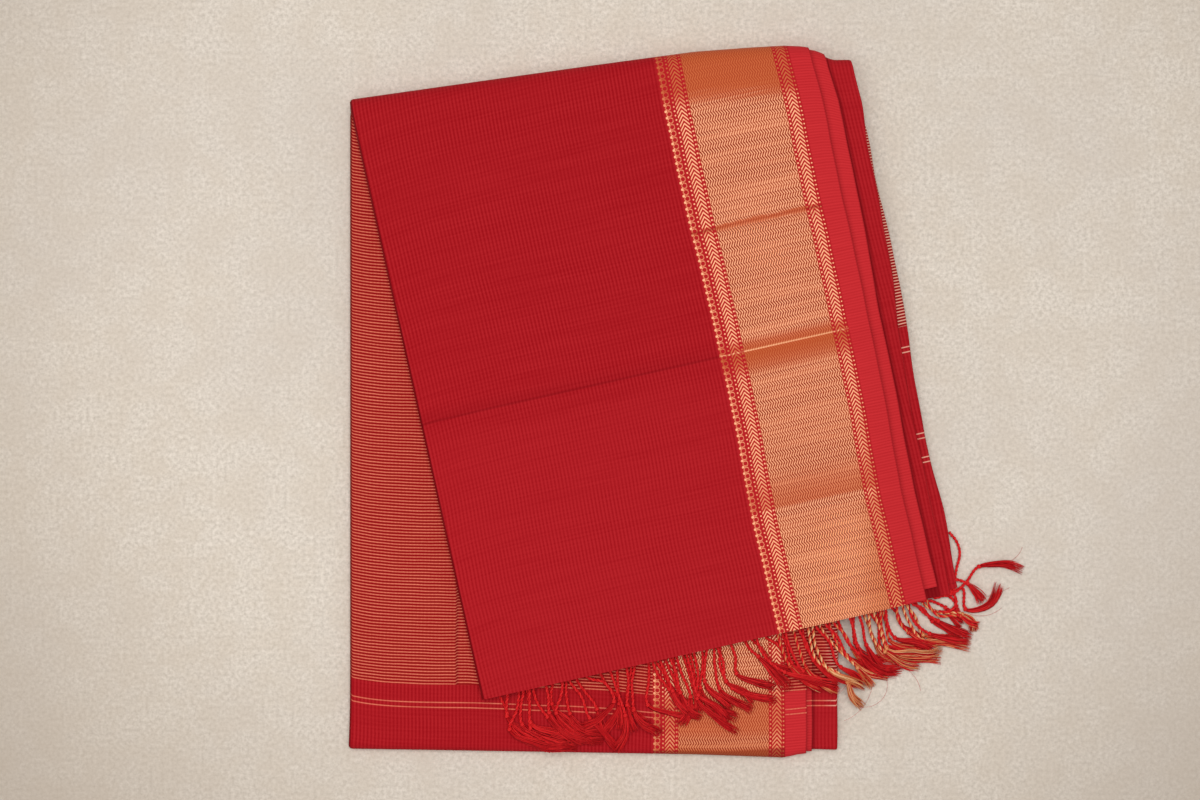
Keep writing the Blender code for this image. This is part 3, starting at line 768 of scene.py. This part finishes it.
TASSELS = (
    # root across, knot x and y, tip x and y, bow of the cord, bow of the brush, gold, half width of the brush
    (10.9, 100.0, 16.2, 125.6, 1.2, 0.2, -4.4, 0, 2.0),
    (23.1, 99.7, 13.1, 140.6, 1.8, 1.9, -4.2, 0, 2.6),
    (28.2, 112.5, 13.1, 142.5, 1.4, 0.7, -2.4, 0, 2.4),
    (32.0, 123.1, 20.6, 145.0, 3.4, -2.0, -2.0, 0, 2.0),
    (40.3, 123.8, 23.1, 151.9, 4.2, 1.3, -3.0, 0, 2.0),
    (50.6, 128.8, 23.1, 158.1, 5.2, 1.3, -5.0, 0, 3.0),
    (55.1, 149.4, 19.4, 166.9, 0.0, 1.5, 0.5, 0, 2.4),
    (66.0, 164.4, 30.0, 144.4, 14.4, 4.0, 2.2, 0, 2.0),
    (81.3, 171.2, 21.9, 165.6, -1.2, -0.0, 3.1, 0, 2.4),
    (91.6, 172.5, 28.1, 177.5, 11.2, 1.4, -0.5, 0, 1.8),
    (96.7, 176.9, 25.0, 193.1, 9.4, -1.2, -2.4, 0, 2.6),
    (105.7, 185.4, 28.1, 218.1, 21.2, 0.5, -2.3, 0, 2.0),
    (108.2, 198.8, 37.5, 214.4, 21.2, -1.8, -2.0, 0, 2.4),
    (112.7, 201.2, 36.9, 210.6, 22.5, -0.3, -2.2, 0, 1.8),
    (119.1, 205.6, 36.2, 219.4, 20.0, 0.8, -3.8, 0, 2.2),
    (123.6, 212.5, 33.1, 205.0, 15.0, -1.4, 1.6, 0, 2.6),
    (130.0, 216.9, 35.0, 237.5, 19.4, -0.8, -0.2, 0, 2.2),
    (134.5, 216.2, 31.9, 241.9, 10.6, 1.7, -1.6, 0, 2.4),
    (139.6, 217.5, 38.1, 241.9, 18.8, 1.9, -3.6, 0, 2.8),
    (147.3, 230.0, 38.1, 250.6, 24.4, -0.9, -1.0, 0, 2.8),
    (151.1, 238.1, 38.1, 265.6, 30.6, -3.5, -0.9, 0, 2.4),
    (167.1, 253.8, 58.1, 273.8, 36.9, -1.5, 1.3, 0, 3.6),
    (174.2, 270.0, 48.8, 304.4, 40.0, -3.8, -0.1, 0, 2.4),
    (187.6, 273.8, 51.9, 294.4, 36.9, -0.9, -2.0, 1, 2.0),
    (192.8, 282.5, 49.4, 301.9, 38.1, -2.6, -1.1, 0, 2.4),
    (197.9, 283.8, 51.2, 304.4, 36.2, -0.6, -2.3, 1, 2.2),
    (203.6, 291.9, 53.1, 316.9, 40.6, -3.1, -2.0, 0, 2.6),
    (206.8, 309.7, 42.5, 320.0, 25.6, -8.0, -2.4, 2, 2.4),
    (210.1, 298.1, 50.0, 321.9, 38.8, -3.0, -0.5, 2, 2.4),
    (214.5, 315.6, 51.2, 326.2, 38.1, -2.4, 0.3, 2, 2.6),
    (220.3, 312.5, 55.6, 336.2, 44.4, -2.8, -2.8, 1, 2.2),
    (226.1, 316.2, 60.0, 339.4, 46.2, -2.1, -2.3, 0, 2.8),
    (233.7, 315.6, 65.0, 341.9, 48.1, 0.3, -7.0, 0, 3.0),
    (239.5, 321.9, 64.4, 345.6, 49.4, 0.5, -6.3, 0, 3.2),
    (245.3, 333.1, 60.0, 355.6, 50.0, -3.1, -1.1, 2, 2.8),
    (249.1, 335.0, 62.5, 370.0, 61.2, -0.3, -2.6, 2, 2.4),
    (253.0, 336.9, 60.6, 368.8, 55.6, -1.3, -2.2, 1, 2.4),
    (256.8, 339.4, 69.4, 364.4, 62.5, -1.8, 0.6, 0, 2.4),
    (263.8, 348.1, 72.5, 368.1, 64.4, -2.8, -1.9, 1, 1.6),
    (267.7, 356.7, 68.1, 387.5, 64.4, -2.1, 0.1, 2, 3.0),
    (271.5, 361.2, 71.2, 386.2, 66.9, -3.4, 0.2, 0, 2.6),
    (276.0, 366.9, 80.0, 388.1, 69.4, -3.0, -1.1, 0, 2.4),
    (279.9, 381.9, 83.8, 388.8, 72.5, -4.8, 2.8, 2, 3.0),
    (283.1, 380.6, 82.5, 392.5, 76.9, -6.7, -1.2, 1, 2.0),
    (291.4, 377.5, 90.6, 366.9, 85.0, 5.3, 1.9, 0, 0.8),
    (293.9, 383.8, 86.9, 405.6, 103.1, 9.1, -6.7, 0, 2.6),
    (295.9, 385.0, 103.1, 395.6, 91.2, 4.8, 0.4, 0, 3.2),
    (297.8, 391.9, 113.4, 420.0, 111.2, -3.0, 3.0, 0, 2.6),
    (299.7, 380.0, 123.8, 373.8, 135.0, -0.8, -1.1, 0, 0.6),
)
STRAY_HAIRS = (
    # start, turn, bend, length
    ((333.0, 47.0), -60.0, -170.0, 42.0),
    ((326.0, 40.0), -100.0, -60.0, 30.0),
    ((312.0, 46.0), -115.0, -40.0, 26.0),
    ((389.0, 93.0), 8.0, 20.0, 24.0),
    ((386.0, 84.0), -20.0, 60.0, 22.0),
    ((410.0, 116.0), 20.0, 50.0, 14.0),
    ((346.0, 50.0), -30.0, -50.0, 18.0),
)


def support(x):
    """Height of what lies below a tassel."""
    return SLAB * (1.0 - float(smooth((x - BACK_EDGE - 3.0) / 24.0)))


def one(across, run, level):
    """Place one point of the slab."""
    x, y, z = placed(np.array([across]), np.array([run]), np.array([level]))
    return np.array([x[0], y[0], z[0]])


def curve(knots, count):
    """Smooth curve through points, evenly stepped."""
    knots = np.array(knots, float)
    way = np.concatenate([[0.0], np.cumsum(np.linalg.norm(np.diff(knots, axis=0), axis=1))])
    slopes = np.gradient(knots, way, axis=0)
    fine = np.linspace(0.0, way[-1], 240)
    made = []
    for at in fine:
        i = min(int(np.searchsorted(way, at, side="right")) - 1, len(way) - 2)
        step = way[i + 1] - way[i]
        u = (at - way[i]) / step
        made.append((2 * u ** 3 - 3 * u ** 2 + 1) * knots[i] + (u ** 3 - 2 * u ** 2 + u) * step * slopes[i]
                    + (3 * u ** 2 - 2 * u ** 3) * knots[i + 1] + (u ** 3 - u ** 2) * step * slopes[i + 1])
    made = np.array(made)
    way = np.concatenate([[0.0], np.cumsum(np.linalg.norm(np.diff(made, axis=0), axis=1))])
    even = np.linspace(0.0, way[-1], count)
    return np.stack([np.interp(even, way, made[:, i]) for i in range(2)], 1), way[-1]


def filled(rows):
    """The tassels that can be told apart, and between them the shorter ones that lie under these."""
    made = []
    for n, (row, after) in enumerate(zip(rows, rows[1:])):
        made.append((row, 1 + n * 2 % 3))
        spread = after[0] - row[0]
        if spread > 3.6 and n % 7 != 3 and after[0] < 292.0:
            share = 0.42 + 0.16 * (n % 2)
            root, knot_x, knot_y, tip_x, tip_y = (row[i] + (after[i] - row[i]) * share for i in range(5))
            drop_x, drop_y = 2.4 * math.sin(2.1 * n), 2.6 * math.cos(1.7 * n)
            knot = (knot_x - 2.0 + drop_x, knot_y + 3.2 + drop_y)
            tip = (knot_x - 1.0 + (tip_x - knot_x) * 0.8 - drop_y,
                   knot_y + 1.5 + (tip_y - knot_y) * 0.8 - drop_x)
            made.append(((root, *knot, *tip, -row[5] * 0.4, row[6] * 0.5 + drop_x * 0.4,
                          max(row[7], after[7]) if n % 3 == 0 else 0, 2.6), 0))
    made.append((rows[-1], 1))
    return made


def beside(start, end, bow):
    """Point beside the middle of a line."""
    start, end = np.array(start), np.array(end)
    along = (end - start) / np.linalg.norm(end - start)
    return (start + end) / 2 + bow * np.array([-along[1], along[0]])


def tassel_course(row, level, rank):
    """Middle line of one tassel from root to tip, its directions, its length and its knot's share."""
    across, knot_x, knot_y, tip_x, tip_y, cord_bow, brush_bow = row[:7]
    start = one(across, UNDER_HEM + 3.5, level)
    ahead = one(across, UNDER_HEM + 5.5, level)
    knot, tip = (knot_x, knot_y), (tip_x, tip_y)
    cord, cord_length = curve((start[:2], ahead[:2], beside(start[:2], knot, cord_bow), knot,
                               beside(knot, tip, brush_bow), tip), COURSE_STEPS + 1)
    shares = np.linspace(0.0, 1.0, COURSE_STEPS + 1)
    knot_at = float(np.argmin(np.linalg.norm(cord - np.array(knot), axis=1))) / COURSE_STEPS
    heading = np.unwrap(np.arctan2(np.gradient(cord[:, 1]), np.gradient(cord[:, 0])))
    sway = (0.5 + 0.5 * math.sin(across * 1.9)) * np.sin(shares * cord_length / 4.2 + across)
    cord = cord + (sway * shares ** 0.7)[:, None] * np.stack([-np.sin(heading), np.cos(heading)], 1)
    spots = []
    for share, (x, y) in zip(shares, cord):
        gone = share * cord_length
        rest = support(x) + 1.5 + rank * 1.4 * (1.0 - 0.4 * share) + (0.3 if x < BACK_EDGE + 27.0 else 0.0)
        rest = min(rest, start[2] + 1.5 * share)
        settled = float(smooth((gone - 3.0) / 14.0))
        kept = (ahead[2] - start[2]) * min(gone, 4.0) / 2.0 * (1.0 - settled)
        spots.append((x, y, start[2] + (rest - start[2]) * settled + kept))
    return np.array(spots), heading, cord_length, knot_at


UP = np.array([0.0, 0.0, 1.0])


class Threads:
    """Collects thin tubes in one mesh, each with a material number."""

    def __init__(self):
        self.points = []
        self.faces = []
        self.slots = []

    def tube(self, path, radii, sides, slot):
        path = np.asarray(path, float)
        ahead = np.gradient(path, axis=0)
        ahead /= np.linalg.norm(ahead, axis=1)[:, None] + 1e-9
        side = np.cross(ahead, UP)
        weak = np.linalg.norm(side, axis=1) < 1e-3
        side[weak] = (1.0, 0.0, 0.0)
        side /= np.linalg.norm(side, axis=1)[:, None]
        over = np.cross(side, ahead)
        base = len(self.points)
        turns = np.arange(sides) * 2 * math.pi / sides
        for p, s, o, r in zip(path, side, over, radii):
            for a in turns:
                self.points.append(p + r * (math.cos(a) * s + math.sin(a) * o))
        rings = len(path)
        for j in range(rings - 1):
            for i in range(sides):
                k = (i + 1) % sides
                self.faces.append((base + j * sides + i, base + j * sides + k,
                                   base + (j + 1) * sides + k, base + (j + 1) * sides + i))
                self.slots.append(slot)
        self.faces.append(tuple(base + i for i in reversed(range(sides))))
        self.faces.append(tuple(base + (rings - 1) * sides + i for i in range(sides)))
        self.slots += [slot, slot]


def sample(path, share):
    """Point on a path at a share of its length."""
    at = np.clip(share, 0.0, 1.0) * (len(path) - 1)
    low = np.minimum(at.astype(int), len(path) - 2)
    return path[low] + (path[low + 1] - path[low]) * (at - low)[:, None]


THREADS = (
    # name, darkest and lightest colour, shine
    ("red thread", (188, 21, 28), (220, 33, 38), 0.06),
    ("deep red thread", (146, 12, 20), (178, 19, 27), 0.05),
    ("bright red thread", (212, 30, 35), (236, 50, 50), 0.08),
    ("copper thread", (206, 104, 54), (236, 148, 90), 0.4),
    ("pale gold thread", (240, 170, 110), (252, 210, 156), 0.6),
)
RED, DEEP, BRIGHT, GOLD, PALE = range(5)
# For tassels without gold, with some and with much
PLIES = ((RED, BRIGHT), (RED, GOLD, BRIGHT), (GOLD, RED, PALE))
KNOTS = (RED, GOLD, PALE)
COILS = (BRIGHT, RED, GOLD)
GOLD_SHARES = (0.0, 0.28, 0.55)


def around(turn, side):
    """Directions round a line, turned from its side."""
    return np.cos(turn)[:, None] * side + np.sin(turn)[:, None] * UP


def cord(threads, pick, path, side, length, end, golden):
    """Twisted plies from the root to the knot."""
    shares = np.linspace(0.0, end, CORD_STEPS)
    middle = sample(path, shares)
    side = sample(side, shares)
    twist = pick.uniform(0, 6.28) + shares * length * 2 * math.pi / pick.uniform(4.2, 5.2)
    plies = PLIES[golden]
    for ply, slot in enumerate(plies):
        offset = 0.5 * around(twist + 2 * math.pi * ply / len(plies), side)
        threads.tube(middle + offset, np.full(len(shares), 0.6 if golden == 0 else 0.5), 6, slot)


def knot(threads, path, side, length, knot_at, golden):
    """A swelling with a thread wound round it."""
    middle = sample(path, np.linspace(knot_at - 1.3 / length, knot_at + 1.3 / length, 9))
    threads.tube(middle, np.sin(np.linspace(0.3, math.pi - 0.3, 9)) * 1.35, 8, KNOTS[golden])
    steps = 20
    coil = np.linspace(0.0, 2 * math.pi * 1.6, steps)
    ring = sample(path, knot_at + np.linspace(-0.7, 0.7, steps) / length)
    ring = ring + 1.15 * around(coil, sample(side, np.full(steps, knot_at)))
    ring[:, 2] = np.maximum(ring[:, 2], [support(p[0]) + 0.5 for p in ring])
    threads.tube(ring, np.full(steps, 0.42), 5, COILS[golden])


def brush(threads, pick, path, side, length, knot_at, half, golden):
    """Loose threads that spread from the knot to the tip."""
    for _ in range(FIBRES):
        angle = pick.uniform(0, 2 * math.pi)
        far = math.sqrt(pick.random())
        reach = 1.0 - pick.random() ** 2 * 0.25 * (1.0 - knot_at)
        shares = np.linspace(knot_at + 1.0 / length, reach, FIBRE_STEPS)
        grow = (shares - knot_at) / (1.0 - knot_at)
        spread = 0.8 + (half - 0.8) * grow ** 0.8 * (1.25 if pick.random() < 0.15 else 1.0)
        wave = 0.3 * np.sin(grow * pick.uniform(7, 15) + pick.uniform(0, 6.28)) * grow
        sideways = far * math.cos(angle) * spread + wave
        upward = far * math.sin(angle) * (0.8 + 0.35 * spread) * (1.0 - 0.35 * grow) + 0.15 * wave
        body = sample(path, shares) + sideways[:, None] * sample(side, shares) + upward[:, None] * UP
        body[:, 2] = np.maximum(body[:, 2], np.array([support(p[0]) for p in body]) + 0.55)
        thick = np.full(FIBRE_STEPS, FIBRE_RADIUS)
        thick[-2:] = (0.2, 0.08)
        if pick.random() < GOLD_SHARES[golden]:
            slot = PALE if pick.random() < 0.22 else GOLD
        else:
            slot = int(pick.choice((RED, DEEP, BRIGHT), p=(0.45, 0.2, 0.35)))
        threads.tube(body, thick, 3, slot)


def stray_hair(threads, start, turn, bend, reach):
    """A single thread that curls over what lies below it."""
    steps = 26
    heading = math.radians(turn) + np.radians(bend) * np.linspace(0.0, 1.0, steps)
    step = reach / steps
    hair = np.array(start) + np.cumsum(np.stack([np.cos(heading), np.sin(heading)], 1) * step, 0)
    heights = np.array([support(p[0]) for p in hair]) + 0.5 + 0.8 * np.sin(np.linspace(0.0, 3.1, steps))
    threads.tube(np.column_stack([hair, heights]), np.full(steps, 0.09), 3, RED)


def fringe(rows, hairs, seed):
    """Tassels as twisted cords, knots and loose ends."""
    pick = np.random.default_rng(seed)
    threads = Threads()
    order = (3, 0, 2, 1)
    for index, (row, rank) in enumerate(rows):
        golden, half = int(row[7]), row[8] * 1.3
        layer = order[index % 4] if row[0] < 280.0 else index % 2
        level = STRIP + GAP + STATION_PLY / 2 + PITCH * layer
        path, headings, length, knot_at = tassel_course(row, level, rank)
        side = np.stack([-np.sin(headings), np.cos(headings), np.zeros_like(headings)], 1)
        loose = half < SHORT_BRUSH
        cord(threads, pick, path, side, length, 1.0 if loose else knot_at, golden)
        if not loose:
            knot(threads, path, side, length, knot_at, golden)
            brush(threads, pick, path, side, length, knot_at, half, golden)
    for hair in hairs:
        stray_hair(threads, *hair)
    return threads


def threads_object(name, threads, origin, materials):
    """One mesh of all the collected threads."""
    points = np.array(threads.points)
    points[:, 2] = np.maximum(points[:, 2], LOWEST)
    mesh = bpy.data.meshes.new(name)
    mesh.from_pydata(((points - origin) / 1000.0).tolist(), [], threads.faces)
    for material in materials:
        mesh.materials.append(material)
    mesh.polygons.foreach_set("material_index", threads.slots)
    mesh.shade_smooth()
    mesh.update()
    return linked(name, mesh)


LAMP_COLOUR = (1.0, 0.985, 0.96)
ROOM_COLOUR = (1.0, 0.985, 0.965, 1.0)
VIEW_WIDTH, LENS, SENSOR = 0.750, 100.0, 36.0  # metres seen at the surface, and the camera's own millimetres


def surface_material():
    """Pale and finely grained, with painted shade that darkens it away from the middle."""
    g = Graph("pale surface")
    place = g.place()
    grain = g.noise(place, 430.0, 3.0, 0.65)
    colour = g.blend(g.range(grain, 0.28, 0.68, kind="LINEAR"), linear(200, 190, 178), linear(240, 230, 218))
    for scale, rough, full, share, tone in ((42.0, 0.6, 0.65, 0.4, (214, 200, 183)),
                                            (4.5, 0.55, 0.7, 0.35, (206, 196, 188))):
        cloud = g.range(g.noise(place, scale, 4.0, rough), 0.35, full, 0.0, share)
        colour = g.blend(cloud, colour, linear(*tone))
    # Painted shade: darker with distance from a point near the middle, standing in for the light's falloff.
    middle = (place, (1.05, 1.05, 0.0), (0.02, -0.10, 0.0))
    away = g.node("VectorMath", middle, operation="MULTIPLY_ADD")[:1]
    far = g.node("VectorMath", away, operation="LENGTH")[1]
    colour = g.blend(g.range(far, 0.28, 0.66, 0.0, 0.75), colour, linear(166, 152, 138))
    g.look("Base Color", colour)
    g.look("Roughness", 0.85)
    g.look("Specular IOR Level", 0.15)
    g.bump(grain, 0.25, 0.0006)
    return g.material


def studio():
    """Pale surface, soft light from above and the camera straight over the cloth."""
    mesh = bpy.data.meshes.new("surface")
    mesh.from_pydata([(-3, -3, 0), (3, -3, 0), (3, 3, 0), (-3, 3, 0)], [], [(0, 1, 2, 3)])
    mesh.materials.append(surface_material())
    floor = linked("surface", mesh)
    floor.location.z = -0.0002

    area = bpy.data.lights.new("overhead", "AREA")
    area.shape = "RECTANGLE"
    area.size = area.size_y = 0.9
    area.energy = 3.6
    area.color = LAMP_COLOUR
    overhead = linked("overhead", area)
    overhead.location = (-0.35, -0.1, 1.15)
    aim = Vector((-0.2, 0.0, 0.0)) - overhead.location
    overhead.rotation_euler = aim.to_track_quat("-Z", "Y").to_euler()

    sun = bpy.data.lights.new("window", "SUN")
    sun.energy = 1.45
    sun.angle = math.radians(30.0)
    sun.color = LAMP_COLOUR
    window = linked("window", sun)
    window.location = (0.0, 0.3, 2.4)
    window.rotation_euler = (math.radians(-8.0), math.radians(2.0), 0.0)

    world = bpy.data.worlds.new("room")
    bpy.context.scene.world = world
    world.use_nodes = True
    world.node_tree.nodes["Background"].inputs[0].default_value = ROOM_COLOUR
    world.node_tree.nodes["Background"].inputs[1].default_value = 0.34

    camera = linked("camera", bpy.data.cameras.new("camera"))
    camera.data.lens = LENS
    camera.data.sensor_width = SENSOR
    camera.location = (-0.0508, 0.0006, VIEW_WIDTH / SENSOR * LENS)
    bpy.context.scene.camera = camera
    bpy.context.scene.view_settings.view_transform = "Standard"


low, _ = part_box("sari_cloth")
ORIGIN = np.array([-low.x * 1000.0, -5.55 - low.y * 1000.0, 0.0])

weave = Weave().material
cloth = skin("sari_cloth_sheet", cloth_rows(), ORIGIN, weave)
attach(cloth, "root")
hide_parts("sari_cloth")

strip = skin("fringe_strip", backing_rows(), ORIGIN, weave)
threads = [thread_material(*row) for row in THREADS]
hung = filled(TASSELS)
halfway = 170.0
left = [item for item in hung if item[0][0] < halfway]
right = [item for item in hung if item[0][0] >= halfway]
tassels = [
    threads_object("fringe_tassels_left", fringe(left, (), 7), ORIGIN, threads),
    threads_object("fringe_tassels_right", fringe(right, STRAY_HAIRS, 8), ORIGIN, threads),
]
for piece in [strip] + tassels:
    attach(piece, "root")
    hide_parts("pallu_fringe")

studio()
